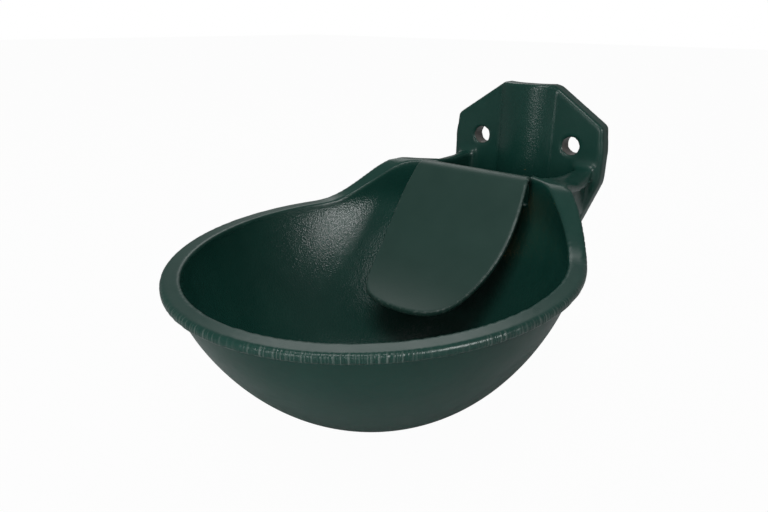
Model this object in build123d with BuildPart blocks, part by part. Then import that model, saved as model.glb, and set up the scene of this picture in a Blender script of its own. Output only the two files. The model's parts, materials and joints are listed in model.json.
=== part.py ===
"""Livestock drinking bowl: a cast bowl on a post bracket, with a tongue that opens a sprung valve.

Millimetres. +X is to the right as the animal sees it, +Y points to the post or wall, +Z is up.
The origin lies midway between the two fixing holes, on the back face of the bracket plate.
Sizes whose names end in _back or _rise are measured from the centre of the rim, at its front level.
"""

import os
from math import asin, cos, degrees, radians, sin, tan

from build123d import *

os.makedirs("parts", exist_ok=True)

# Bracket plate, measured from the fixing holes
hole_spacing = 72.5
hole_diameter = 13.0
hole_edge_radius = 0.6
plate_thickness = 13.0
plate_top_half = 19.6
plate_top_height = 41.6
plate_shoulder_half = 57.8
plate_shoulder_height = 15.2
plate_shoulder_foot = -3.5
plate_side_half = 60.2
plate_side_drop = 24.0
plate_foot_half = 37.0
plate_foot_drop = 86.0
plate_corner_radius = 5.0
plate_side_radius = 20.0
plate_edge_radius = 1.8
post_radius = 30.5
post_recess_depth = 9.0
bulge_half = 21.5
bulge_rise = 7.4
bulge_foot_radius = 2.5

# Bowl and rim
reach = 184.5
rim_drop = 39.0
rim_half_width = 110.0
rim_half_length = 126.0
rim_width = 10.0
rim_overhang = 4.5
band_height = 5.2
bowl_depth = 92.0
floor_thickness = 7.0
foot_radius = 11.0
foot_shift = 5.0
wall_fullness = 1.55
wall_roundness = 2.13
length_taper = 0.1
shoulder_rise = 28.2
rise_start = 48.0
rise_end = 101.0
rise_foot_pull = 1.4
rise_top_pull = 0.64
rim_edge_radius = 1.6

# Arms from the bowl's shoulders to the plate
arm_root_half = 67.0
arm_root_back = 86.0
arm_outer_half = 54.5
arm_inner_half = 43.5
arm_inner_root_half = 56.4
arm_inner_bend_back = 121.0
arm_dip = 3.8
arm_dip_start_back = 104.0
arm_dip_end_back = 142.0
arm_sink = 0.1
arm_lip_root_depth = 4.0
arm_lip_end_depth = 12.0
arm_plate_radius = 6.0
web_root_half = 60.0
web_outer_half = 51.0
web_depth = 68.0
web_depth_at_bowl = 30.0
web_depth_at_plate = 35.0
web_low_back = 122.0
dish_half = 51.5
dish_back = 137.0
dish_rise = 25.0
dish_sizes = (5.0, 25.0, 2.8)
dish_turn = (0, 8, 6)

# Valve housing behind the tongue
notch_half = 36.0
notch_front_back = 94.0
notch_rise = 8.0
notch_length = 39.0
housing_half = 20.0
housing_back = 134.0
housing_drop = 34.0
gallery_back = 149.0
gallery_radius = 16.0
gallery_top_rise = 12.0
gallery_bottom_rise = -52.0
passage_radius = 6.0
port_radius = 9.3
port_depth = 15.0
valve_boss_radius = 15.5

# Hinge of the tongue
pin_back = 108.0
pin_rise = 14.0
pin_radius = 3.0
pin_clearance = 0.05
ear_radius = 6.5
ear_inner = 17.0
ear_width = 6.0
lug_width = 6.0
lug_gap = 0.5
washer_radius = 5.4
washer_thickness = 1.2
washer_gap = 0.15
split_pin_radius = 0.8
split_pin_clearance = 0.05
split_pin_length = 9.0
pin_end = 2.6

# Tongue
tongue_thickness = 3.6
tongue_tilt = 37.5
tongue_line_back = 90.0
tongue_line_rise = 25.0
tongue_top_rise = 30.4
lip_radius = 9.0
lip_end_angle = 30.0
bend_start_rise = 0.0
bend_radius = 110.0
bend_turn = 38.2
tongue_top_half = 38.4
tongue_wide_half = 44.4
tongue_wide_back = 80.0
tongue_low_half = 37.2
tongue_low_back = 36.0
tongue_edge_radius = 1.2
lug_top_rise = 22.0
lug_foot_rise = 8.0
pad_rise = -5.5
pad_radius = 4.5
pad_width = 12.0
pad_gap = 0.05

# Valve
valve_rise = -8.0
valve_face_back = 108.0
valve_thread_radius = 10.45
valve_fit = 0.05
valve_end_back = 122.0
gasket_thickness = 1.5
gasket_radius = 13.2
hex_flats = 26.0
hex_height = 7.5
nose_radius = 8.0
nose_front_back = 89.0
bush_length = 5.5
outlet_radius = 1.9
outlet_back = 96.8
water_radius = 5.2
chamber_radius = 8.6
seat_face_back = 99.5
seat_thickness = 3.0
seat_hole_radius = 4.4
seat_gap = 0.1
disc_radius = 6.8
disc_thickness = 3.2
holder_radius = 6.2
holder_thickness = 1.4
nut_flats = 7.4
nut_height = 2.2
stem_end = 0.6
stem_radius = 2.5
stem_fit = 0.06
stem_shoulder_radius = 3.4
stem_shoulder_length = 4.0
cap_front_back = 78.0
cap_radius = 5.5
cap_length = 6.6
cap_wall = 2.2
spring_radius = 5.2
spring_wire_radius = 0.45
spring_turns = 4
retainer_face_back = 117.0
retainer_thickness = 2.2
retainer_hole_radius = 3.8
retainer_pitch_radius = 7.1
retainer_slot_radius = 0.9
strainer_thickness = 0.8
strainer_pitch = 3.4
strainer_hole_radius = 0.9
clip_thickness = 0.9
clip_depth = 0.8
clip_width = 1.8

# Flow regulator, a spindle across the water way behind the valve
regulator_back = 127.0
spindle_radius = 3.5
spindle_fit = 0.05
way_radius = 5.5
vane_thickness = 2.0
spindle_seat_depth = 2.5
gland_thread_radius = 4.6
gland_thread_length = 4.0
gland_flats = 10.0
gland_height = 3.5
spindle_head_height = 3.0
slot_width = 1.2
slot_depth = 1.6
o_ring_radius = 0.5
o_ring_groove = 1.3
o_ring_lift = 3.2

# Blanking plug under the gallery
plug_flange_radius = 12.5
plug_flange_height = 2.5
plug_head_flats = 17.0
plug_head_height = 6.0
plug_thread_fit = 0.05
plug_washer_thickness = 1.6

# Places worked out from the sizes above
rim_y = -reach
rim_z = -rim_drop
outer_half_width = rim_half_width - rim_overhang
outer_half_length = rim_half_length - rim_overhang
inner_half_width = rim_half_width - rim_width
inner_half_length = rim_half_length - rim_width
inner_depth = bowl_depth - floor_thickness
shoulder_z = rim_z + shoulder_rise
front_end = rim_y - rim_half_length - 10
sky = shoulder_z + 40
plate_front = -plate_thickness
plate_inside = plate_front + 2
arm_root_y = rim_y + arm_root_back
arm_top_z = shoulder_z - arm_dip
recess_y = post_radius - post_recess_depth
bulge_radius = (bulge_half**2 + bulge_rise**2) / (2 * bulge_rise)
bulge_y = plate_front - bulge_rise + bulge_radius
notch_z = rim_z + notch_rise
pin_y = rim_y + pin_back
pin_z = rim_z + pin_rise
pin_bore_radius = pin_radius + pin_clearance
valve_z = rim_z + valve_rise
valve_face_y = rim_y + valve_face_back
gallery_y = rim_y + gallery_back
gallery_top = rim_z + gallery_top_rise
gallery_bottom = rim_z + gallery_bottom_rise
regulator_y = rim_y + regulator_back
spindle_bottom = valve_z - way_radius - spindle_seat_depth
split_pin_x = ear_inner + ear_width + 2 * washer_gap + washer_thickness + split_pin_radius
pin_half_length = split_pin_x + split_pin_radius + pin_end
nose_front_y = rim_y + nose_front_back
hex_front_y = valve_face_y - gasket_thickness - hex_height
valve_end_y = rim_y + valve_end_back
seat_face_y = rim_y + seat_face_back
disc_y = seat_face_y + seat_thickness + seat_gap
holder_y = disc_y + disc_thickness
nut_y = holder_y + holder_thickness
retainer_y = rim_y + retainer_face_back
clip_y = retainer_y + retainer_thickness + strainer_thickness
cap_front_y = rim_y + cap_front_back
stem_front_y = cap_front_y + cap_wall
spring_front_y = nut_y
spring_length = retainer_y - spring_front_y - 2 * spring_wire_radius - 2 * valve_fit
spindle_top = notch_z + gland_height + spindle_head_height
o_ring_z = valve_z + way_radius + o_ring_lift
plug_face_z = gallery_bottom - plug_washer_thickness
bottom_up = (Align.CENTER, Align.CENTER, Align.MIN)
tilt = radians(tongue_tilt)
lip_end = radians(lip_end_angle)
lip_inner = lip_radius - tongue_thickness
lip_z = rim_z + tongue_top_rise - lip_radius
pad_y = rim_y + cap_front_back - pad_gap - pad_radius
pad_z = rim_z + pad_rise
depth_shares = (0.0, 0.1, 0.25, 0.42, 0.6, 0.76, 0.88, 0.96, 1.0)


def finish(piece, name):
    """Labels a finished piece and writes it."""
    piece.part.label = name
    export_step(piece.part, f"parts/{name}.step")


def valve_plane(y):
    """A plane across the valve's axis at a distance along it."""
    return Plane(origin=(0, y, valve_z), x_dir=(1, 0, 0), z_dir=(0, 1, 0))


def ring(name, y, thickness, outer, inner):
    """A flat ring round the valve's axis, written as a piece of its own."""
    with BuildPart() as piece:
        with BuildSketch(valve_plane(y)):
            Circle(outer)
            Circle(inner, mode=Mode.SUBTRACT)
        extrude(amount=thickness)
    finish(piece, name)


def wall_section(half_width, half_length, share):
    """Half-sizes and forward shift of the bowl's wall at a share of its depth."""
    round_share = (1 - share**wall_fullness) ** (1 / wall_roundness)
    size = foot_radius / half_width + (1 - foot_radius / half_width) * round_share
    return half_width * size, half_length * size * (1 - length_taper * share), foot_shift * share


def line_point(rise, depth):
    """A point of the tongue's straight stretch at a height, at a depth behind its front face."""
    back = tongue_line_back - (tongue_line_rise - rise) * tan(tilt)
    return rim_y + back + depth * cos(tilt), rim_z + rise - depth * sin(tilt)


def bend_point(turn, depth):
    """A point of the tongue's curved stretch after a turn in degrees, at a depth behind its front face."""
    angle = radians(-tongue_tilt - turn)
    out = bend_radius + depth
    return bend_centre[0] + out * cos(angle), bend_centre[1] + out * sin(angle)


def rise_profile(lower):
    """The rim's side line, level in front and raised behind, lowered by the given amount."""
    level = rim_z - lower
    Line((front_end, level), (rim_y + rise_start, level))
    Spline(
        (rim_y + rise_start, level),
        (rim_y + rise_end, level + shoulder_rise),
        tangents=((1, 0), (1, 0)),
        tangent_scalars=(rise_foot_pull, rise_top_pull),
    )
    Line((rim_y + rise_end, level + shoulder_rise), (0, level + shoulder_rise))


def arm_plan(root_half, outer_half):
    """An arm's outline seen from above, with a fillet on its inner side at the plate."""
    fillet_y = plate_front - arm_plate_radius
    Polyline(
        (arm_inner_half - arm_plate_radius, plate_front),
        (arm_inner_half - arm_plate_radius, plate_inside),
        (outer_half, plate_inside),
        (root_half, arm_root_y),
        (arm_inner_root_half, arm_root_y),
        (arm_inner_half, rim_y + arm_inner_bend_back),
        (arm_inner_half, fillet_y),
    )
    CenterArc((arm_inner_half - arm_plate_radius, fillet_y), arm_plate_radius, 0, 90)


bend_start = line_point(bend_start_rise, 0)
bend_centre = (bend_start[0] - bend_radius * cos(tilt), bend_start[1] + bend_radius * sin(tilt))
sheet_turn = bend_turn + 5
lip_front_rise = lip_z + lip_radius * sin(tilt) - rim_z
lip_y = line_point(lip_front_rise, 0)[0] + lip_radius * cos(tilt)
pad_turn = degrees(asin((bend_centre[1] - pad_z) / (bend_radius + tongue_thickness / 2))) - tongue_tilt

# Outer form of the bowl's wall
with BuildPart() as outer_form:
    with BuildSketch(Plane.XY.offset(shoulder_z + 4)):
        with Locations((0, rim_y)):
            Ellipse(outer_half_width, outer_half_length)
    for share in depth_shares:
        half_x, half_y, shift = wall_section(outer_half_width, outer_half_length, share)
        with BuildSketch(Plane.XY.offset(rim_z - share * bowl_depth)):
            with Locations((0, rim_y - shift)):
                Ellipse(half_x, half_y)
    loft()

# Space inside the bowl
with BuildPart() as inner_form:
    with BuildSketch(Plane.XY.offset(shoulder_z + 4)):
        with Locations((0, rim_y)):
            Ellipse(inner_half_width, inner_half_length)
    for share in depth_shares:
        half_x, half_y, shift = wall_section(inner_half_width, inner_half_length, share)
        with BuildSketch(Plane.XY.offset(rim_z - share * inner_depth)):
            with Locations((0, rim_y - shift)):
                Ellipse(half_x, half_y)
    loft()

# Rim: the outline seen from above, cut to the band between two side lines
with BuildPart() as rim_form:
    with BuildSketch(Plane.YZ):
        with BuildLine():
            rise_profile(0)
            rise_profile(band_height)
            Line((front_end, rim_z - band_height), (front_end, rim_z))
            Line((0, shoulder_z - band_height), (0, shoulder_z))
        make_face()
    extrude(amount=rim_half_width + 5, both=True)
    with BuildSketch(Plane.XY.offset(rim_z - band_height - 1)):
        with Locations((0, rim_y)):
            Ellipse(rim_half_width, rim_half_length)
    extrude(amount=shoulder_rise + band_height + 5, mode=Mode.INTERSECT)
    fillet(rim_form.edges(), radius=rim_edge_radius)
    with BuildSketch(Plane.XY.offset(rim_z)):
        with Locations((0, rim_y + arm_root_back)):
            Rectangle(2 * arm_inner_half, rim_half_length, align=(Align.CENTER, Align.MIN))
        with Locations((0, rim_y)):
            Ellipse(outer_half_width, outer_half_length, mode=Mode.SUBTRACT)
    extrude(amount=shoulder_rise + 1, mode=Mode.SUBTRACT)

# Arms that carry the bowl's shoulders back to the plate, each a lipped top on a narrower web
with BuildPart() as web_form:
    with BuildSketch(Plane.XY.offset(shoulder_z - arm_dip)):
        with BuildLine():
            arm_plan(web_root_half, web_outer_half)
        make_face()
    extrude(amount=-web_depth)
    with BuildSketch(Plane.YZ):
        with BuildLine():
            Polyline(
                (arm_root_y, rim_z),
                (arm_root_y, shoulder_z - web_depth_at_bowl),
                (rim_y + web_low_back, shoulder_z - web_depth),
                (plate_inside, shoulder_z - web_depth_at_plate),
                (plate_inside, shoulder_z),
                (rim_y + arm_dip_start_back, shoulder_z),
                close=True,
            )
        make_face()
    extrude(amount=rim_half_width, mode=Mode.INTERSECT)

# Long scoop that is hollowed out of an arm's top
with BuildPart() as dish_form:
    Sphere(1)
    scale(by=dish_sizes)
dish_place = Location((dish_half, rim_y + dish_back, rim_z + dish_rise), dish_turn)

with BuildPart() as arm_form:
    with BuildSketch(Plane.XY.offset(shoulder_z + arm_plate_radius)):
        with BuildLine():
            arm_plan(arm_root_half, arm_outer_half)
        make_face()
    extrude(amount=-arm_lip_end_depth - arm_plate_radius)
    with BuildSketch(Plane.YZ):
        with BuildLine():
            dip_start = (rim_y + arm_dip_start_back, shoulder_z)
            dip_end = (rim_y + arm_dip_end_back, arm_top_z)
            Line((arm_root_y, shoulder_z), dip_start)
            Spline(dip_start, dip_end, tangents=((1, 0), (1, 0)))
            Line(dip_end, (plate_front - arm_plate_radius, arm_top_z))
            CenterArc((plate_front - arm_plate_radius, arm_top_z + arm_plate_radius), arm_plate_radius, -90, 90)
            Polyline(
                (plate_front, arm_top_z + arm_plate_radius),
                (plate_inside, arm_top_z + arm_plate_radius),
                (plate_inside, shoulder_z - arm_lip_end_depth),
                (arm_root_y, shoulder_z - arm_lip_root_depth),
                (arm_root_y, shoulder_z),
            )
        make_face()
    extrude(amount=rim_half_width, mode=Mode.INTERSECT)
    add(dish_form.part.moved(dish_place), mode=Mode.SUBTRACT)
    with BuildSketch(Plane.YZ):
        with BuildLine():
            rise_profile(arm_sink)
            Line((0, shoulder_z - arm_sink), (0, sky))
            Line((0, sky), (front_end, sky))
            Line((front_end, sky), (front_end, rim_z - arm_sink))
        make_face()
        Rectangle(2 * (reach - rise_end), 4 * reach, mode=Mode.SUBTRACT)
    extrude(amount=rim_half_width, mode=Mode.SUBTRACT)
    add(web_form.part)
    mirror(about=Plane.YZ)

# Slab of the bracket plate with its upright bulge, before its outline is cut
with BuildPart() as slab_form:
    with BuildSketch(Plane.XY.offset(-plate_foot_drop - 1)):
        Rectangle(4 * plate_side_half, 2 * plate_thickness)
        with Locations((0, bulge_y)):
            Circle(bulge_radius)
    extrude(amount=plate_foot_drop + plate_top_height + 2)
    fillet(slab_form.edges().filter_by(Axis.Z).group_by(Axis.Y)[1], radius=bulge_foot_radius)

# Bracket plate, hollow behind for a round post
with BuildPart() as plate_form:
    with BuildSketch(Plane.XZ):
        with BuildLine():
            Polyline(
                (0, plate_top_height),
                (plate_top_half, plate_top_height),
                (plate_shoulder_half, plate_shoulder_height),
                (plate_side_half, plate_shoulder_foot),
                (plate_side_half, -plate_side_drop),
                (plate_foot_half, -plate_foot_drop),
                (0, -plate_foot_drop),
            )
            mirror(about=Plane.YZ)
        make_face()
    extrude(amount=bulge_radius)
    corners = plate_form.edges().filter_by(Axis.Y)
    side_corners = corners.filter_by(lambda edge: abs(edge.center().Z + plate_side_drop) < 1)
    fillet(side_corners, radius=plate_side_radius)
    corners = plate_form.edges().filter_by(Axis.Y).filter_by(
        lambda edge: edge.center().Z > plate_shoulder_foot - 1 or edge.center().Z < 1 - plate_foot_drop
    )
    fillet(corners, radius=plate_corner_radius)
    add(slab_form.part, mode=Mode.INTERSECT)
    front_outline = plate_form.edges().filter_by(lambda edge: edge.center().Y < plate_front + 0.1)
    fillet(front_outline.filter_by(Axis.Z, reverse=True), radius=plate_edge_radius)
    fillet(plate_form.edges().group_by(Axis.Y)[-1], radius=plate_edge_radius / 2)
    with Locations((0, recess_y, -plate_foot_drop - 1)):
        Cylinder(post_radius, plate_foot_drop + plate_top_height + 2, align=bottom_up, mode=Mode.SUBTRACT)

# Ears that hold the hinge pin, behind the tongue
with BuildPart() as ear_form:
    with BuildSketch(Plane.YZ.offset(ear_inner)):
        with BuildLine():
            CenterArc((pin_y, pin_z), ear_radius, 0, 360)
            Line((rim_y + inner_half_length - 3, notch_z - 14), (rim_y + inner_half_length + 2, notch_z - 14))
            Line((rim_y + inner_half_length + 2, notch_z - 14), (rim_y + inner_half_length + 2, notch_z))
        make_hull()
    extrude(amount=ear_width)
    mirror(about=Plane.YZ)

# Bowl, rim, arms, valve housing and bracket plate, all one casting
with BuildPart() as bowl_casting:
    add(outer_form.part)
    with BuildSketch(Plane.YZ):
        with BuildLine():
            rise_profile(band_height / 2)
            Line((0, shoulder_z - band_height / 2), (0, sky))
            Line((0, sky), (front_end, sky))
            Line((front_end, sky), (front_end, rim_z - band_height / 2))
        make_face()
    extrude(amount=rim_half_width + 5, both=True, mode=Mode.SUBTRACT)
    add(rim_form.part)
    add(arm_form.part)
    add(plate_form.part)

    # Valve housing, the gallery boss behind it, and the way to the plate
    with BuildSketch(Plane.YZ):
        with BuildLine():
            Polyline(
                (rim_y + outer_half_length - 30, notch_z),
                (rim_y + housing_back, notch_z),
                (rim_y + housing_back, rim_z - housing_drop),
                (rim_y + outer_half_length - 30, rim_z - housing_drop - 24),
                close=True,
            )
        make_face()
    extrude(amount=housing_half, both=True)
    with BuildSketch(Plane.XY.offset(gallery_bottom)):
        with Locations((0, gallery_y)):
            Circle(gallery_radius)
    extrude(amount=gallery_top - gallery_bottom)

    add(inner_form.part, mode=Mode.SUBTRACT)

    # Notch behind the tongue, down to the top of the housing
    with BuildSketch(Plane.XY.offset(notch_z)):
        with Locations((0, rim_y + notch_front_back)):
            Rectangle(2 * notch_half, notch_length, align=(Align.CENTER, Align.MIN))
    extrude(amount=sky - notch_z, mode=Mode.SUBTRACT)
    add(ear_form.part)

    # Boss that the valve's flange seats on, and the valve's threaded bore
    with BuildSketch(Plane.XZ.offset(-valve_face_y)):
        with Locations((0, valve_z)):
            Circle(valve_boss_radius)
    extrude(amount=-(outer_half_length - valve_face_back))
    with BuildSketch(Plane.XZ.offset(-valve_face_y)):
        with Locations((0, valve_z)):
            Circle(valve_boss_radius)
    extrude(amount=valve_face_back - nose_front_back, mode=Mode.SUBTRACT)
    with BuildSketch(Plane.XZ.offset(-valve_face_y)):
        with Locations((0, valve_z)):
            Circle(valve_thread_radius + valve_fit)
    extrude(amount=-(valve_end_back - valve_face_back), mode=Mode.SUBTRACT)
    with BuildSketch(Plane.XZ.offset(-valve_face_y)):
        with Locations((0, valve_z)):
            Circle(way_radius)
    extrude(amount=-(gallery_back - valve_face_back), mode=Mode.SUBTRACT)

    # Upright water gallery with a pipe thread at each end
    with Locations((0, gallery_y, gallery_bottom - 1)):
        Cylinder(passage_radius, gallery_top - gallery_bottom + 2, align=bottom_up, mode=Mode.SUBTRACT)
    with Locations((0, gallery_y, gallery_top - port_depth)):
        Cylinder(port_radius, port_depth + 1, align=bottom_up, mode=Mode.SUBTRACT)
    with Locations((0, gallery_y, gallery_bottom - 1)):
        Cylinder(port_radius, port_depth + 1, align=bottom_up, mode=Mode.SUBTRACT)

    # Bore of the flow regulator with the thread of its gland
    with Locations((0, regulator_y, spindle_bottom)):
        Cylinder(spindle_radius + spindle_fit, sky - spindle_bottom, align=bottom_up, mode=Mode.SUBTRACT)
    with Locations((0, regulator_y, notch_z - gland_thread_length)):
        Cylinder(gland_thread_radius + spindle_fit, sky - notch_z, align=bottom_up, mode=Mode.SUBTRACT)

    # Hinge pin bores and fixing holes
    with BuildSketch(Plane.YZ):
        with Locations((pin_y, pin_z)):
            Circle(pin_bore_radius)
    extrude(amount=ear_inner + ear_width + 1, both=True, mode=Mode.SUBTRACT)
    with BuildSketch(Plane.XZ.offset(-1)):
        with GridLocations(hole_spacing, 0, 2, 1):
            Circle(hole_diameter / 2)
    extrude(amount=plate_thickness + 2, mode=Mode.SUBTRACT)
    hole_edges = bowl_casting.edges().filter_by(GeomType.CIRCLE).filter_by(Plane.XZ)
    hole_edges = hole_edges.filter_by(lambda edge: abs(edge.radius - hole_diameter / 2) < 0.01)
    fillet(hole_edges.filter_by(lambda edge: edge.arc_center.Y < plate_front + 0.1), radius=hole_edge_radius)

finish(bowl_casting, "bowl_casting")

# Lugs that hang the tongue on the pin, inside the ears
with BuildPart() as lug_form:
    with BuildSketch(Plane.YZ.offset(ear_inner - lug_gap - lug_width)):
        with BuildLine():
            CenterArc((pin_y, pin_z), ear_radius, 0, 360)
            Line(line_point(lug_top_rise, tongue_thickness / 2), line_point(lug_foot_rise, tongue_thickness / 2))
        make_hull()
    extrude(amount=lug_width)
    mirror(about=Plane.YZ)

# Tongue, a plate with a rolled top edge, curved forwards below, with two lugs and a push pad behind
with BuildPart() as tongue:
    with BuildSketch(Plane.YZ):
        with BuildLine():
            front_top = (lip_y - lip_radius * cos(tilt), lip_z + lip_radius * sin(tilt))
            back_top = (lip_y - lip_inner * cos(tilt), lip_z + lip_inner * sin(tilt))
            CenterArc((lip_y, lip_z), lip_radius, lip_end_angle, 180 - tongue_tilt - lip_end_angle)
            CenterArc((lip_y, lip_z), lip_inner, lip_end_angle, 180 - tongue_tilt - lip_end_angle)
            Line(
                (lip_y + lip_radius * cos(lip_end), lip_z + lip_radius * sin(lip_end)),
                (lip_y + lip_inner * cos(lip_end), lip_z + lip_inner * sin(lip_end)),
            )
            Line(front_top, bend_point(0, 0))
            Line(back_top, bend_point(0, tongue_thickness))
            CenterArc(bend_centre, bend_radius, -tongue_tilt - sheet_turn, sheet_turn)
            CenterArc(bend_centre, bend_radius + tongue_thickness, -tongue_tilt - sheet_turn, sheet_turn)
            Line(bend_point(sheet_turn, 0), bend_point(sheet_turn, tongue_thickness))
        make_face()
    extrude(amount=tongue_wide_half + 5, both=True)
    with BuildSketch(Plane.XY.offset(rim_z - bowl_depth)):
        with BuildLine():
            top_corner = (tongue_top_half, lip_y + lip_radius + 1)
            tip = (0, bend_point(bend_turn, 0)[0])
            Line((0, lip_y + lip_radius + 1), top_corner)
            Spline(
                top_corner,
                (tongue_wide_half, rim_y + tongue_wide_back),
                (tongue_low_half, rim_y + tongue_low_back),
                tip,
                tangents=((0.2, -1), (-1, 0)),
            )
            mirror(about=Plane.YZ)
        make_face()
    extrude(amount=bowl_depth + shoulder_rise + lip_radius, mode=Mode.INTERSECT)
    fillet(tongue.edges().filter_by(GeomType.BSPLINE), radius=tongue_edge_radius)

    add(lug_form.part)

    # Pad that pushes the valve stem
    with BuildSketch(Plane.YZ):
        with BuildLine():
            CenterArc((pad_y, pad_z), pad_radius, 0, 360)
            Line(bend_point(pad_turn - 3, tongue_thickness / 2), bend_point(pad_turn + 4, tongue_thickness / 2))
        make_hull()
    extrude(amount=pad_width / 2, both=True)
    with BuildSketch(Plane.YZ):
        with Locations((pin_y, pin_z)):
            Circle(pin_bore_radius)
    extrude(amount=ear_inner, both=True, mode=Mode.SUBTRACT)
finish(tongue, "tongue")

# Hinge pin, drilled across for a split pin at each end
with BuildPart() as hinge_pin:
    with BuildSketch(Plane.YZ):
        with Locations((pin_y, pin_z)):
            Circle(pin_radius)
    extrude(amount=pin_half_length, both=True)
    chamfer(hinge_pin.edges().filter_by(GeomType.CIRCLE), length=0.6)
    with BuildSketch(Plane.XY.offset(pin_z - pin_radius - 1)):
        with Locations((-split_pin_x, pin_y), (split_pin_x, pin_y)):
            Circle(split_pin_radius + split_pin_clearance)
    extrude(amount=2 * pin_radius + 2, mode=Mode.SUBTRACT)
finish(hinge_pin, "hinge_pin")

# Washers between the ears and the split pins
with BuildPart() as hinge_washers:
    with BuildSketch(Plane.YZ.offset(ear_inner + ear_width + washer_gap)):
        with Locations((pin_y, pin_z)):
            Circle(washer_radius)
            Circle(pin_bore_radius, mode=Mode.SUBTRACT)
    extrude(amount=washer_thickness)
    mirror(about=Plane.YZ)
finish(hinge_washers, "hinge_washers")

# Split pins, each a leg through the hinge pin with a looped head
with BuildPart() as hinge_split_pins:
    with BuildSketch(Plane.XY.offset(pin_z - split_pin_length / 2)):
        with Locations((split_pin_x, pin_y)):
            Circle(split_pin_radius)
    extrude(amount=split_pin_length)
    loop_z = pin_z + split_pin_length / 2 + split_pin_radius
    with Locations(Location((split_pin_x, pin_y, loop_z), (0, 90, 0))):
        Torus(2 * split_pin_radius, split_pin_radius)
    mirror(about=Plane.YZ)
finish(hinge_split_pins, "hinge_split_pins")

# Valve body: nose tube, hexagon and thread, bored through, with outlets below and at the sides
with BuildPart() as valve_body:
    with BuildSketch(valve_plane(nose_front_y)):
        Circle(nose_radius)
    extrude(amount=hex_front_y - nose_front_y)
    chamfer(valve_body.edges().group_by(Axis.Y)[0], length=0.8)
    with BuildSketch(valve_plane(hex_front_y)):
        RegularPolygon(hex_flats / 2, 6, major_radius=False)
    extrude(amount=hex_height)
    with BuildSketch(valve_plane(hex_front_y + hex_height)):
        Circle(valve_thread_radius)
    extrude(amount=valve_end_y - hex_front_y - hex_height)
    with BuildSketch(valve_plane(nose_front_y)):
        Circle(water_radius)
    extrude(amount=seat_face_y - nose_front_y, mode=Mode.SUBTRACT)
    with BuildSketch(valve_plane(seat_face_y)):
        Circle(chamber_radius)
    extrude(amount=valve_end_y - seat_face_y, mode=Mode.SUBTRACT)
    with BuildSketch(valve_plane(clip_y - valve_fit)):
        Circle(chamber_radius + clip_depth + valve_fit)
    extrude(amount=clip_thickness + 2 * valve_fit, mode=Mode.SUBTRACT)
    with BuildSketch(Plane.XY.offset(valve_z)):
        with Locations((0, rim_y + outlet_back)):
            Circle(outlet_radius)
    extrude(amount=-nose_radius - 1, mode=Mode.SUBTRACT)
    with BuildSketch(Plane.YZ):
        with Locations((rim_y + outlet_back, valve_z)):
            Circle(outlet_radius)
    extrude(amount=nose_radius + 1, both=True, mode=Mode.SUBTRACT)
finish(valve_body, "valve_body")

ring("valve_gasket", valve_face_y - gasket_thickness, gasket_thickness, gasket_radius, valve_thread_radius + valve_fit)
ring("valve_seat", seat_face_y, seat_thickness, chamber_radius - valve_fit, seat_hole_radius)
ring("stem_guide_bush", nose_front_y, bush_length, water_radius - valve_fit, stem_radius + stem_fit)
ring("valve_disc", disc_y, disc_thickness, disc_radius, stem_radius + valve_fit)
ring("disc_holder", holder_y, holder_thickness, holder_radius, stem_radius + valve_fit)

# Nut that clamps the disc on the stem
with BuildPart() as disc_nut:
    with BuildSketch(valve_plane(nut_y)):
        RegularPolygon(nut_flats / 2, 6, major_radius=False)
        Circle(stem_radius + valve_fit, mode=Mode.SUBTRACT)
    extrude(amount=nut_height)
finish(disc_nut, "disc_nut")

# Valve stem with the shoulder that the disc rests on
with BuildPart() as valve_stem:
    with BuildSketch(valve_plane(stem_front_y)):
        Circle(stem_radius)
    extrude(amount=nut_y + nut_height + stem_end - stem_front_y)
    with BuildSketch(valve_plane(disc_y - stem_shoulder_length)):
        Circle(stem_shoulder_radius)
    extrude(amount=stem_shoulder_length)
    chamfer(valve_stem.edges().group_by(Axis.Y)[-1], length=0.4)
finish(valve_stem, "valve_stem")

# Cap on the stem's front end, which the tongue's pad pushes
with BuildPart() as stem_cap:
    with BuildSketch(valve_plane(cap_front_y)):
        Circle(cap_radius)
    extrude(amount=cap_length)
    fillet(stem_cap.edges().group_by(Axis.Y)[-1], radius=1.2)
    chamfer(stem_cap.edges().group_by(Axis.Y)[0], length=0.5)
    with BuildSketch(valve_plane(stem_front_y)):
        Circle(stem_radius + valve_fit)
    extrude(amount=cap_length, mode=Mode.SUBTRACT)
finish(stem_cap, "stem_cap")

# Spring that closes the valve
with BuildPart() as closing_spring:
    with BuildLine():
        coil_start = (0, spring_front_y + spring_wire_radius + valve_fit, valve_z)
        coil = Helix(spring_length / spring_turns, spring_length, spring_radius, coil_start, (0, 1, 0))
    with BuildSketch(Plane(origin=coil @ 0, z_dir=coil % 0)):
        Circle(spring_wire_radius)
    sweep(path=coil, is_frenet=True)
finish(closing_spring, "closing_spring")

# Retainer that the spring pushes against, with holes for the water
with BuildPart() as spring_retainer:
    with BuildSketch(valve_plane(retainer_y)):
        Circle(chamber_radius - valve_fit)
        Circle(retainer_hole_radius, mode=Mode.SUBTRACT)
        with PolarLocations(retainer_pitch_radius, 8):
            Circle(retainer_slot_radius, mode=Mode.SUBTRACT)
    extrude(amount=retainer_thickness)
finish(spring_retainer, "spring_retainer")

# Strainer plate over the retainer
with BuildPart() as inlet_strainer:
    with BuildSketch(valve_plane(retainer_y + retainer_thickness)):
        Circle(chamber_radius - valve_fit)
        Circle(strainer_hole_radius, mode=Mode.SUBTRACT)
        for row in (1, 2):
            with PolarLocations(row * strainer_pitch, 6 * row):
                Circle(strainer_hole_radius, mode=Mode.SUBTRACT)
    extrude(amount=strainer_thickness)
finish(inlet_strainer, "inlet_strainer")

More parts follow.
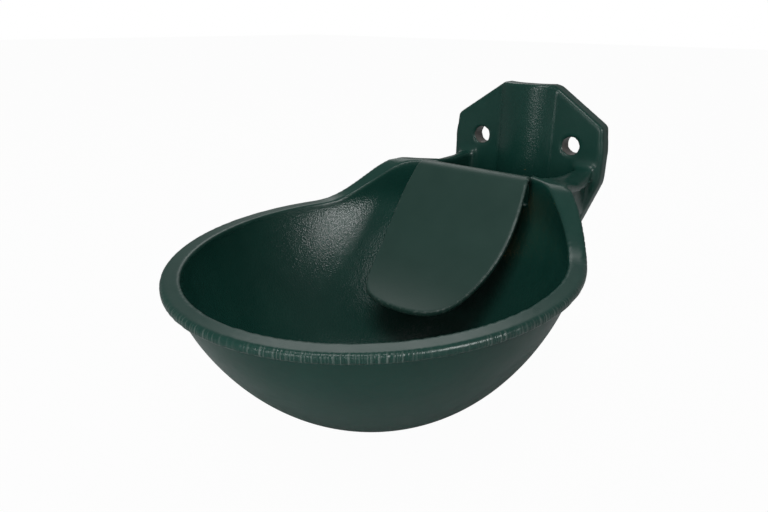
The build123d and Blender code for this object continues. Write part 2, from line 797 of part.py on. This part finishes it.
# Spring clip in the groove behind the strainer
with BuildPart() as retainer_clip:
    with BuildSketch(valve_plane(clip_y)):
        Circle(chamber_radius + clip_depth)
        Circle(chamber_radius + clip_depth - clip_width, mode=Mode.SUBTRACT)
        with Locations((0, chamber_radius)):
            Rectangle(chamber_radius / 2, chamber_radius, mode=Mode.SUBTRACT)
    extrude(amount=clip_thickness)
finish(retainer_clip, "retainer_clip")

# Flow regulator: a spindle with a flat vane that turns across the water way
with BuildPart() as regulator_spindle:
    with BuildSketch(Plane.XY.offset(spindle_bottom + spindle_fit)):
        with Locations((0, regulator_y)):
            Circle(spindle_radius)
    extrude(amount=spindle_top - spindle_bottom - spindle_fit)
    with BuildSketch(Plane.XY.offset(valve_z - way_radius)):
        for side in (-1, 1):
            with Locations((side * (vane_thickness / 2 + spindle_radius), regulator_y)):
                Rectangle(2 * spindle_radius, 3 * spindle_radius)
    extrude(amount=2 * way_radius, mode=Mode.SUBTRACT)
    with BuildSketch(Plane.XY.offset(o_ring_z - o_ring_groove / 2)):
        with Locations((0, regulator_y)):
            Circle(spindle_radius + 1)
            Circle(spindle_radius - 2 * o_ring_radius, mode=Mode.SUBTRACT)
    extrude(amount=o_ring_groove, mode=Mode.SUBTRACT)
    with BuildSketch(Plane.XY.offset(spindle_top - slot_depth)):
        with Locations((0, regulator_y)):
            Rectangle(slot_width, 3 * spindle_radius)
    extrude(amount=slot_depth, mode=Mode.SUBTRACT)
finish(regulator_spindle, "regulator_spindle")

# O-ring in the spindle's groove
with BuildPart() as regulator_o_ring:
    with Locations((0, regulator_y, o_ring_z)):
        Torus(spindle_radius - o_ring_radius + spindle_fit / 2, o_ring_radius - spindle_fit / 4)
finish(regulator_o_ring, "regulator_o_ring")

# Gland that holds the spindle in
with BuildPart() as regulator_gland:
    with BuildSketch(Plane.XY.offset(notch_z - gland_thread_length + spindle_fit)):
        with Locations((0, regulator_y)):
            Circle(gland_thread_radius)
    extrude(amount=gland_thread_length)
    with BuildSketch(Plane.XY.offset(notch_z)):
        with Locations((0, regulator_y)):
            RegularPolygon(gland_flats / 2, 6, major_radius=False)
    extrude(amount=gland_height)
    with BuildSketch(Plane.XY.offset(notch_z - gland_thread_length)):
        with Locations((0, regulator_y)):
            Circle(spindle_radius + spindle_fit)
    extrude(amount=gland_thread_length + gland_height, mode=Mode.SUBTRACT)
finish(regulator_gland, "regulator_gland")

# Plug that closes the gallery's lower port, and its sealing washer
with BuildPart() as blanking_plug:
    with BuildSketch(Plane.XY.offset(plug_face_z)):
        with Locations((0, gallery_y)):
            Circle(port_radius - plug_thread_fit)
    extrude(amount=plug_washer_thickness + port_depth - 4)
    with BuildSketch(Plane.XY.offset(plug_face_z)):
        with Locations((0, gallery_y)):
            Circle(plug_flange_radius)
    extrude(amount=-plug_flange_height)
    with BuildSketch(Plane.XY.offset(plug_face_z - plug_flange_height)):
        with Locations((0, gallery_y)):
            RegularPolygon(plug_head_flats / 2, 6, major_radius=False)
    extrude(amount=-plug_head_height)
    chamfer(blanking_plug.edges().group_by(Axis.Z)[0], length=0.8)
finish(blanking_plug, "blanking_plug")

with BuildPart() as plug_washer:
    with BuildSketch(Plane.XY.offset(plug_face_z)):
        with Locations((0, gallery_y)):
            Circle(plug_flange_radius)
            Circle(port_radius + plug_thread_fit, mode=Mode.SUBTRACT)
    extrude(amount=plug_washer_thickness)
finish(plug_washer, "plug_washer")
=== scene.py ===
# %% [markdown]
# # A cast iron drinking bowl
# This lesson dresses a farm animal's drinking bowl: a green enamelled casting with a hinged tongue.
# The pieces that move already exist at their real size. The lesson rebuilds the skins of the two
# castings, so that their corners are as soft as cast corners are, and gives each piece its finish.

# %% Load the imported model
import json
import math

import bpy
import numpy as np
from mathutils import Matrix, Vector


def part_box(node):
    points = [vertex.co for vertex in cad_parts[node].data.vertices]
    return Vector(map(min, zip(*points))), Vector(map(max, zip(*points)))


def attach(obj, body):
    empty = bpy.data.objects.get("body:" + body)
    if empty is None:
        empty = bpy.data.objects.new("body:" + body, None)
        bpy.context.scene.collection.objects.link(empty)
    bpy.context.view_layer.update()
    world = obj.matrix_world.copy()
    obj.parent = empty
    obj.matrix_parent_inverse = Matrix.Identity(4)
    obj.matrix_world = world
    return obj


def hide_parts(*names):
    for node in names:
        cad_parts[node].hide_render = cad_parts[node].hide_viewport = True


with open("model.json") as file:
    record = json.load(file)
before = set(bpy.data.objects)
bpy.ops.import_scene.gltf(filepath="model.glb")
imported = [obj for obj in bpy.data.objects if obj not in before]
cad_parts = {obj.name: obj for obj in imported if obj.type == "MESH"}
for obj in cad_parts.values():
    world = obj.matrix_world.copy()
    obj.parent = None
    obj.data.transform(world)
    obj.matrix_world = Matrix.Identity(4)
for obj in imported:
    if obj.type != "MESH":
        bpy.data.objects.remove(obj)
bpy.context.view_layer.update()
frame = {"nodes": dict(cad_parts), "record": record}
print("Pieces in the model:", len(frame["nodes"]))

# %% [markdown]
# ## Where things are
# The bowl's rim is an ellipse. Its centre lies halfway between the front of the rim and the point
# where the ellipse would close behind, and its level is the level of the front of the rim. The
# width and the front come from the model's own box. The other sizes are the model's, repeated here.

# %% Places that the finishes need
MM = 0.001
casting_low, casting_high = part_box("bowl_casting")
rim_half_width = casting_high.x
rim_half_length = 126 * MM
rim_centre_y = casting_low.y + rim_half_length
rim_level = -39 * MM
shoulder_rise = 28.2 * MM
hole_side = 36.25 * MM
plate_middle = 6.5 * MM
print("Rim centre:", round(rim_centre_y, 4), "half width:", round(rim_half_width, 4))

# %% [markdown]
# ## Camera
# The view is the one of the photograph: from the front and the right, a little above the rim.
# The eye, the turn and the lens come from matching the rim, the fixing holes and the tongue.
# The small shift says that the picture's middle isn't quite on the lens axis.

# %% Make the camera
PHOTO_WIDTH = 768
PHOTO_HEIGHT = 512
azimuth = math.radians(37.89)
elevation = math.radians(20.31)
roll = math.radians(0.69)
eye_distance = 0.3571
focal_pixels = 624.2
axis_pixel = (382.8, 249.2)

back = Vector((
    math.sin(azimuth) * math.cos(elevation),
    -math.cos(azimuth) * math.cos(elevation),
    math.sin(elevation),
))
level_right = Vector((math.cos(azimuth), math.sin(azimuth), 0))
level_up = back.cross(level_right)
right = math.cos(roll) * level_right + math.sin(roll) * level_up
up = math.cos(roll) * level_up - math.sin(roll) * level_right
aim = Vector((0, rim_centre_y, rim_level))
bpy.ops.object.camera_add(location=aim + back * eye_distance)
camera = bpy.context.object
camera.name = "camera"
camera.rotation_euler = Matrix((right, up, back)).transposed().to_euler()
camera.data.sensor_width = 36
camera.data.lens = 36 * focal_pixels / PHOTO_WIDTH
camera.data.shift_x = (PHOTO_WIDTH / 2 - axis_pixel[0]) / PHOTO_WIDTH
camera.data.shift_y = (axis_pixel[1] - PHOTO_HEIGHT / 2) / PHOTO_WIDTH
camera.data.clip_start = 0.01
bpy.context.scene.camera = camera
print("Lens:", round(camera.data.lens, 2), "mm, eye at", [round(x, 4) for x in camera.location])

# %% [markdown]
# ## Helpers for shader nodes
# A material is a chain of nodes. Two short helpers keep the chains readable: one starts a material
# and finds its main shader, the other adds a node, sets its values and links its inputs.

# %% Helpers for materials
def start_material(name):
    """A new material with its nodes, and its main shader."""
    material = bpy.data.materials.new(name)
    material.use_nodes = True
    return material, material.node_tree.nodes["Principled BSDF"]


def add_node(material, kind, values=None, **settings):
    """Adds a node. Each value is a number, a colour or the output of another node."""
    node = material.node_tree.nodes.new(kind)
    for name, setting in settings.items():
        setattr(node, name, setting)
    for name, value in (values or {}).items():
        if isinstance(value, bpy.types.NodeSocket):
            material.node_tree.links.new(value, node.inputs[name])
        else:
            node.inputs[name].default_value = value
    return node


def link(material, output, shader, name):
    """Links an output to a named input of a shader."""
    material.node_tree.links.new(output, shader.inputs[name])


# %% [markdown]
# ## Floor, backdrop and light
# The photograph shows the bowl cut out on white, lit softly from all around, with the strongest
# light from above. White surroundings matter here, because dark glossy enamel shows little colour
# of its own and mostly mirrors the room. The camera sees white, while the light that the world
# gives stays at a plain level. The lamp at the side is strong, but only its reflections are seen.
# It adds highlights and doesn't lighten the enamel around them.

# %% World and lamps
room_light = 0.22
scene = bpy.context.scene
scene.view_settings.view_transform = "Standard"
world = bpy.data.worlds.new("white_room")
scene.world = world
world.use_nodes = True
background = world.node_tree.nodes["Background"]
background.inputs["Color"].default_value = (1, 1, 1, 1)
light_path = world.node_tree.nodes.new("ShaderNodeLightPath")
strength = world.node_tree.nodes.new("ShaderNodeMapRange")
strength.inputs["To Min"].default_value = room_light
strength.inputs["To Max"].default_value = 1.0
world.node_tree.links.new(light_path.outputs["Is Camera Ray"], strength.inputs["Value"])
world.node_tree.links.new(strength.outputs["Result"], background.inputs["Strength"])


def softbox(name, place, size, power):
    """A square area lamp at a place, turned to the bowl."""
    bpy.ops.object.light_add(type="AREA", location=place)
    lamp = bpy.context.object
    lamp.name = name
    lamp.rotation_euler = (Vector(place) - aim).to_track_quat("Z", "Y").to_euler()
    lamp.data.size = size
    lamp.data.energy = power
    return lamp


softbox("key_lamp", aim + Vector((0.25, -0.55, 1.0)), 0.45, 4.4)
softbox("back_lamp", aim + Vector((-0.6, 0.75, 0.8)), 0.7, 2.5)
softbox("front_lamp", aim + Vector((0.15, -1.0, 0.2)), 0.3, 2.4)
side_lamp = softbox("side_lamp", aim + Vector((1.0, -0.1, 0.35)), 0.3, 6)
side_lamp.visible_diffuse = False

# %% Floor
floor_level = casting_low.z - 0.5 * MM
bpy.ops.mesh.primitive_plane_add(size=12, location=(0, 0, floor_level))
floor = bpy.context.object
floor.name = "floor"
paper, paper_shader = start_material("white_paper")
paper_shader.inputs["Base Color"].default_value = (0.6, 0.62, 0.62, 1)
paper_shader.inputs["Roughness"].default_value = 0.8
seen = add_node(paper, "ShaderNodeLightPath")
glow = add_node(paper, "ShaderNodeEmission", {"Color": (1, 1, 1, 1), "Strength": 1.0})
veil = add_node(paper, "ShaderNodeMath", {0: seen.outputs["Is Camera Ray"], 1: 0.97}, operation="MULTIPLY")
layers = {0: veil.outputs[0], 1: paper_shader.outputs[0], 2: glow.outputs[0]}
both = add_node(paper, "ShaderNodeMixShader", layers)
paper_end = paper.node_tree.nodes["Material Output"]
paper.node_tree.links.new(both.outputs[0], paper_end.inputs["Surface"])
floor.data.materials.append(paper)
print("Floor level:", round(floor_level, 4))

# %% [markdown]
# ## Skins of the two castings
# A sand casting has no sharp corner: the sand can't hold one, and the enamel flows over what is
# left. So each casting is copied, rebuilt as one even mesh and smoothed, which rounds its corners as
# the enamel does. The arms are smoothed more, because they blend into the plate, and their outer
# lip is lowered first, because it slopes outwards in the photograph. The bowl's skin is smoothed in
# pairs of steps, one in and one nearly as far out, so that its thin walls don't shrink. The
# rebuilding fills hidden cracks about as narrow as its cells, such as those beside the gallery boss.

# %% Helpers for the skins
def copy_node(node, name):
    """A copy of a node's mesh with the shared corners of its faces joined."""
    bpy.ops.object.select_all(action="DESELECT")
    skin = bpy.data.objects.new(name, frame["nodes"][node].data.copy())
    scene.collection.objects.link(skin)
    skin.data.materials.clear()
    skin.select_set(True)
    bpy.context.view_layer.objects.active = skin
    bpy.ops.object.mode_set(mode="EDIT")
    bpy.ops.mesh.select_all(action="SELECT")
    bpy.ops.mesh.remove_doubles(threshold=0.02 * MM)
    bpy.ops.object.mode_set(mode="OBJECT")
    bpy.ops.mesh.customdata_custom_splitnormals_clear()
    return skin


def rebuild(skin, cell):
    """Rebuilds the active mesh from small cubes of one size."""
    skin.data.remesh_voxel_size = cell
    skin.data.use_remesh_preserve_attributes = False
    bpy.ops.object.voxel_remesh()
    bpy.ops.object.shade_smooth()


def points_of(skin):
    """The places of all vertices, one row for each."""
    flat = np.empty(len(skin.data.vertices) * 3, np.float32)
    skin.data.vertices.foreach_get("co", flat)
    return flat.reshape(-1, 3).astype(float)


def neighbour_mean(skin, values):
    """For each vertex, the mean of a value over the vertices that it shares an edge with."""
    ends = np.empty(len(skin.data.edges) * 2, np.int32)
    skin.data.edges.foreach_get("vertices", ends)
    first, second = ends.reshape(-1, 2).T
    total = np.zeros_like(values)
    np.add.at(total, first, values[second])
    np.add.at(total, second, values[first])
    count = np.bincount(first, minlength=len(values)) + np.bincount(second, minlength=len(values))
    return total / np.maximum(count, 1)[:, None]


def move_points(skin, points):
    """Puts the vertices at new places."""
    skin.data.vertices.foreach_set("co", points.astype(np.float32).ravel())


def relax(skin, amount, rounds):
    """Moves each vertex towards the mean of its neighbours by its own amount, or away if below 0."""
    points = points_of(skin)
    for turn in range(rounds):
        points += amount[:, None] * (neighbour_mean(skin, points) - points)
    move_points(skin, points)
    skin.data.update()


def store(skin, name, values):
    """Keeps a number for each vertex, for the material to read."""
    attribute = skin.data.attributes.new(name, "FLOAT", "POINT")
    attribute.data.foreach_set("value", values.astype(np.float32))


def ramp(values, low, high):
    """0 below low, 1 above high and an even climb between."""
    return np.clip((values - low) / (high - low), 0, 1)


def from_rim(points):
    """How far each point is to the side, behind the rim's centre and above the rim's level."""
    return np.abs(points[:, 0]), points[:, 1] - rim_centre_y, points[:, 2] - rim_level


def stand_out(skin):
    """How far each vertex sticks out from the mean of its surroundings, and its normal."""
    points = points_of(skin)
    mean = points.copy()
    for turn in range(3):
        mean = neighbour_mean(skin, mean)
    normals = np.empty(len(points) * 3, np.float32)
    skin.data.vertices.foreach_get("normal", normals)
    outward = ((points - mean) * normals.reshape(-1, 3)).sum(axis=1)
    return outward, normals.reshape(-1, 3)


# %% Skin of the bowl casting
bowl = copy_node("bowl_casting", "bowl_skin")
rebuild(bowl, 1.75 * MM)
points = points_of(bowl)
side, depth_back, rise = from_rim(points)
on_arm = ramp(side, 34 * MM, 39 * MM) * (1 - ramp(side, 66 * MM, 70 * MM))
on_arm *= ramp(depth_back, 94 * MM, 102 * MM) * ramp(rise, -40 * MM, -34 * MM)
on_arm *= 1 - ramp(rise, 34 * MM, 37 * MM)
lip_inner_side = 49 * MM
slope = 0.5 * ramp(depth_back, 104 * MM, 150 * MM) * np.maximum(side - lip_inner_side, 0)
slope *= ramp(rise, 14 * MM, 20 * MM) * (1 - ramp(depth_back, 160 * MM, 171 * MM))
points[:, 2] -= slope
move_points(bowl, points)
relax(bowl, 0.6 * on_arm, 3)
step_in = np.full(len(points), 0.5)
step_out = np.full(len(points), -0.48)
for turn in range(5):
    relax(bowl, step_in, 1)
    relax(bowl, step_out, 1)
print("Bowl skin:", len(bowl.data.polygons), "faces")

# %% Skin of the tongue
tongue = copy_node("tongue", "tongue_skin")
rebuild(tongue, 0.8 * MM)
relax(tongue, np.full(len(tongue.data.vertices), 0.2), 3)
print("Tongue skin:", len(tongue.data.polygons), "faces")

# %% [markdown]
# ## Marks on the skins
# The finish isn't the same everywhere. The inside keeps the grain of the sand, the band round the
# rim was ground and shows the marks of the wheel, and the enamel is thin on outer edges. Each of
# these is kept as a number for every vertex, worked out from the place and the direction it faces.

# %% Grain, ground band and worn edges
points = points_of(bowl)
outward, normals = stand_out(bowl)
side, depth_back, rise = from_rim(points)
rim_rise = shoulder_rise * ramp(depth_back, 60 * MM, 97 * MM)
reach_share = np.hypot(points[:, 0] / rim_half_width, depth_back / rim_half_length)
away_from_centre = normals[:, 0] * points[:, 0] + normals[:, 1] * depth_back
facing_in = away_from_centre < 0.5 * np.hypot(points[:, 0], depth_back)
inside = (reach_share < 0.925) & (rise < rim_rise - 2.5 * MM) & facing_in
inside &= (rise > -86 * MM) & (depth_back < 118 * MM)
bulge = (side < 22 * MM) & (rise > 10 * MM)
bulge &= (points[:, 1] < -12.5 * MM) & (points[:, 1] > -30 * MM)
grain = np.where(inside, 1.0, 0.0)
grain = np.where(bulge, 0.65, grain)
grain = neighbour_mean(bowl, neighbour_mean(bowl, grain[:, None]))[:, 0]
store(bowl, "grain", grain)
facing_out = np.hypot(normals[:, 0], normals[:, 1]) > 0.5
band = (reach_share > 0.972) & facing_out & (depth_back < 62 * MM)
band &= (rise > rim_rise - 6.5 * MM)
band = neighbour_mean(bowl, np.where(band, 1.0, 0.0)[:, None])[:, 0]
store(bowl, "band", band)
around = np.arctan2(points[:, 0] / rim_half_width, -depth_back / rim_half_length) * rim_half_width
store(bowl, "around", around)
store(bowl, "worn", ramp(outward, 0.5 * MM, 0.9 * MM) * (1 - band))
hole_bore = (np.abs(normals[:, 1]) < 0.4) & (np.abs(points[:, 1] + plate_middle) < 6.0 * MM)
hole_bore &= np.hypot(side - hole_side, points[:, 2]) < 7.4 * MM
store(bowl, "bare", np.where(hole_bore, 1.0, 0.0))

outward, normals = stand_out(tongue)
store(tongue, "worn", ramp(outward, 0.06 * MM, 0.2 * MM))
for mark in ("grain", "band", "around", "bare"):
    store(tongue, mark, np.zeros(len(outward)))
print("Inside vertices:", int(inside.sum()), "band:", int((band > 0.5).sum()))

# %% [markdown]
# ## Green enamel
# Enamel is glass fused on the iron. It is dark green, glossy, and follows the casting's skin: long
# soft waves where the iron is smooth, and hard little glints where the sand left its grain. One
# recipe makes both finishes. The tongue gets a rougher, greyer one, rubbed dull by muzzles.

# %% Make the enamel
def make_enamel(name, dark, light, roughness, wave_depth):
    """Enamel between two greens, with the marks kept on the skin."""
    enamel, shader = start_material(name)
    links = enamel.node_tree.links
    place = add_node(enamel, "ShaderNodeTexCoord").outputs["Object"]

    def noise(where, scale, detail):
        """Noise at a place, where scale sets how many lumps there are in a metre."""
        values = {"Vector": where, "Scale": scale, "Detail": detail}
        return add_node(enamel, "ShaderNodeTexNoise", values).outputs["Fac"]

    def spread(value, low, high):
        """Stretches the values between low and high over 0 to 1."""
        values = {"Value": value, "From Min": low, "From Max": high}
        return add_node(enamel, "ShaderNodeMapRange", values).outputs[0]

    def combine(operation, first, second):
        """One step of arithmetic on two values."""
        return add_node(enamel, "ShaderNodeMath", {0: first, 1: second}, operation=operation).outputs[0]

    marks = {}
    for mark in ("grain", "band", "around", "worn", "bare"):
        marks[mark] = add_node(enamel, "ShaderNodeAttribute", attribute_name=mark).outputs["Fac"]

    green = add_node(enamel, "ShaderNodeMix", {0: noise(place, 45, 4)}, data_type="RGBA")
    green.inputs[6].default_value = (*dark, 1)
    green.inputs[7].default_value = (*light, 1)

    along = add_node(enamel, "ShaderNodeCombineXYZ", {"X": marks["around"]}).outputs[0]
    wheel = noise(along, 700, 2)
    pressed = spread(noise(along, 22, 1), 0.36, 0.52)
    depth = combine("MULTIPLY", marks["band"], pressed)
    streaks = combine("MULTIPLY", spread(wheel, 0.5, 0.66), depth)
    rubbed = combine("MULTIPLY", streaks, 0.6)
    worn = combine("MULTIPLY", spread(noise(place, 420, 2), 0.52, 0.62), marks["worn"])
    thin = combine("MULTIPLY", worn, 0.35)
    bright = combine("MAXIMUM", thin, rubbed)
    edge = add_node(enamel, "ShaderNodeMix", {0: bright, 6: green.outputs[2]}, data_type="RGBA")
    edge.inputs[7].default_value = (0.22, 0.27, 0.25, 1)
    iron = add_node(enamel, "ShaderNodeMix", {0: marks["bare"], 6: edge.outputs[2]}, data_type="RGBA")
    iron.inputs[7].default_value = (0.16, 0.15, 0.14, 1)
    link(enamel, iron.outputs[2], shader, "Base Color")
    shader.inputs["Specular IOR Level"].default_value = 0.38

    gloss = add_node(enamel, "ShaderNodeMapRange", {"Value": noise(place, 90, 3)})
    gloss.inputs["To Min"].default_value = roughness - 0.06
    gloss.inputs["To Max"].default_value = roughness + 0.08
    glassy = combine("MULTIPLY", marks["grain"], -0.1)
    link(enamel, combine("ADD", gloss.outputs[0], glassy), shader, "Roughness")

    waves = {"Height": noise(place, 260, 3), "Strength": 0.5, "Distance": wave_depth}
    wave_bump = add_node(enamel, "ShaderNodeBump", waves)
    lumps = {"Vector": place, "Scale": 900, "Detail": 2, "Roughness": 0.6}
    sand = add_node(enamel, "ShaderNodeTexNoise", lumps)
    grains = {"Height": sand.outputs["Fac"], "Strength": marks["grain"], "Distance": 0.28 * MM}
    sand_bump = add_node(enamel, "ShaderNodeBump", grains)
    links.new(wave_bump.outputs[0], sand_bump.inputs["Normal"])
    scratches = {"Height": wheel, "Strength": depth, "Distance": 0.8 * MM}
    wheel_bump = add_node(enamel, "ShaderNodeBump", scratches)
    links.new(sand_bump.outputs[0], wheel_bump.inputs["Normal"])
    link(enamel, wheel_bump.outputs[0], shader, "Normal")
    return enamel


bowl_enamel = make_enamel("bowl_enamel", (0.006, 0.047, 0.036), (0.013, 0.068, 0.052), 0.30, 0.10 * MM)
tongue_enamel = make_enamel("tongue_enamel", (0.014, 0.050, 0.039), (0.022, 0.066, 0.052), 0.42, 0.07 * MM)
bowl.data.materials.append(bowl_enamel)
tongue.data.materials.append(tongue_enamel)
for skin, node, body, slot in (
    (bowl, "bowl_casting", "root", "enamelled_iron"),
    (tongue, "tongue", "tongue", "tongue_enamel"),
):
    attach(skin, body)
    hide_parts(node)
print("Enamels:", bowl_enamel.name, tongue_enamel.name)

# %% [markdown]
# ## Metals, rubber and plastic
# The small parts of the hinge and the valve are turned or drawn metal, rubber and plastic. One
# recipe serves all four finishes: a fine grain that changes the colour, the gloss and the surface
# a little. Metal is seen mostly as a soft spread of reflections, and rubber and plastic are dull.

# %% Make the small parts' finishes
def make_small_finish(name, colour, metallic, roughness, scale, depth):
    """A plain finish with a fine grain in its colour, gloss and surface."""
    material, shader = start_material(name)
    place = add_node(material, "ShaderNodeTexCoord").outputs["Object"]
    grain = add_node(material, "ShaderNodeTexNoise", {"Vector": place, "Scale": scale, "Detail": 4})
    tone = add_node(material, "ShaderNodeMix", data_type="RGBA")
    material.node_tree.links.new(grain.outputs["Fac"], tone.inputs[0])
    tone.inputs[6].default_value = (*[0.8 * part for part in colour], 1)
    tone.inputs[7].default_value = (*[min(1, 1.15 * part) for part in colour], 1)
    link(material, tone.outputs[2], shader, "Base Color")
    gloss = add_node(material, "ShaderNodeMapRange", {"Value": grain.outputs["Fac"]})
    gloss.inputs["To Min"].default_value = roughness - 0.08
    gloss.inputs["To Max"].default_value = roughness + 0.08
    link(material, gloss.outputs[0], shader, "Roughness")
    relief = {"Height": grain.outputs["Fac"], "Strength": 0.4, "Distance": depth}
    bump = add_node(material, "ShaderNodeBump", relief)
    link(material, bump.outputs[0], shader, "Normal")
    shader.inputs["Metallic"].default_value = metallic
    return material


finishes = {
    "stainless": make_small_finish("stainless", (0.58, 0.58, 0.56), 1, 0.28, 1500, 0.02 * MM),
    "brass": make_small_finish("brass", (0.62, 0.43, 0.18), 1, 0.3, 1200, 0.02 * MM),
    "rubber": make_small_finish("rubber", (0.02, 0.02, 0.02), 0, 0.7, 1800, 0.03 * MM),
    "white_plastic": make_small_finish("white_plastic", (0.7, 0.7, 0.66), 0, 0.45, 900, 0.02 * MM),
}
for part in frame["record"]["subparts"]:
    if part["material_slot"] in finishes:
        mesh = frame["nodes"][part["node"]].data
        mesh.materials.clear()
        mesh.materials.append(finishes[part["material_slot"]])
print("Finishes:", sorted(finishes))
